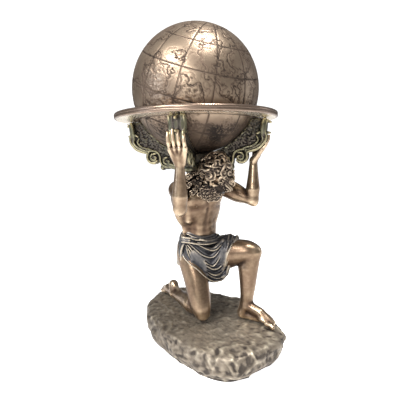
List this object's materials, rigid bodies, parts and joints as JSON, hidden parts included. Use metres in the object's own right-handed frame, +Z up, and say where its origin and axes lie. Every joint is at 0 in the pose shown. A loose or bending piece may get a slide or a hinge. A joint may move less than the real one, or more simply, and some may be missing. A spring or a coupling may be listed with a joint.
{
  "type": "atlas statue",
  "caption": "Kneeling bearded man in a loincloth who holds up a globe in a flat ring on a scrolled cradle, on a rock base.",
  "frame": {"origin": "on the rock's flat underside, straight below the globe's centre", "axes": "+Z up, the figure faces -Y, its own left hand is towards +X"},
  "size_m": [0.15, 0.1733, 0.3002],
  "materials": {
    "rock_bronze": "rough grey-brown bronze, dry-brushed pale on its edges",
    "figure_bronze": "satin antiqued bronze, dark in the hollows",
    "cradle_bronze": "dark olive green with rubbed gold edges",
    "ring_bronze": "smooth satin bronze",
    "globe_bronze": "satin bronze with dark engraved lines"
  },
  "bodies": {
    "root": {"rock_base": "rock_bronze", "atlas_figure": "figure_bronze", "scroll_cradle": "cradle_bronze", "horizon_ring": "ring_bronze", "globe": "globe_bronze"}
  },
  "joints": []
}
